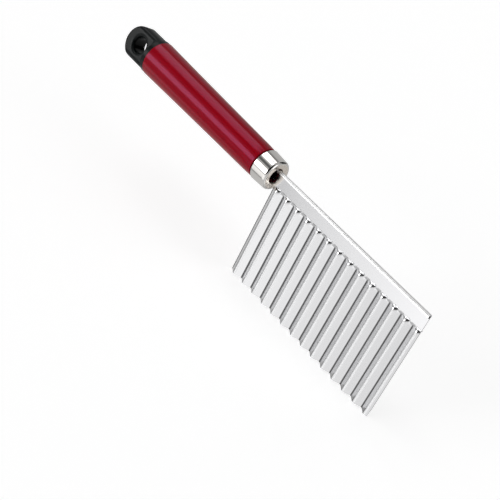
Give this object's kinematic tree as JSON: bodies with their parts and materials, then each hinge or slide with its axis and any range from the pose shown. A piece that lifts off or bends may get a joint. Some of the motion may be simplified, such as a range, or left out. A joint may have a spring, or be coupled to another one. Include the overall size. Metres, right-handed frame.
{
  "type": "crinkle cutter",
  "caption": "Hand-held crinkle cutter: a corrugated steel blade with a rolled spine on a tapered red round handle with a chrome ferrule and a black hanging end cap.",
  "frame": {"origin": "middle of the overall box in X and Y, at the height of the cutting edge", "axes": "+X along the handle axis towards the blade tip, +Z from the cutting edge up to the spine, -Y is the front and +Y the back, where the edge is ground"},
  "size_m": [0.2162, 0.019, 0.0635],
  "materials": {
    "blade_steel": "satin stainless sheet, polished on the wave crests",
    "ferrule_chrome": "mirror chrome plate",
    "grip_red": "high gloss red",
    "plug_black": "moulded black",
    "pin_steel": "drawn steel wire",
    "cap_black": "satin moulded black"
  },
  "bodies": {
    "root": {"blade": "blade_steel", "ferrule": "ferrule_chrome", "grip": "grip_red", "tang_plug": "plug_black", "tang_pin": "pin_steel", "end_cap": "cap_black"}
  },
  "joints": []
}
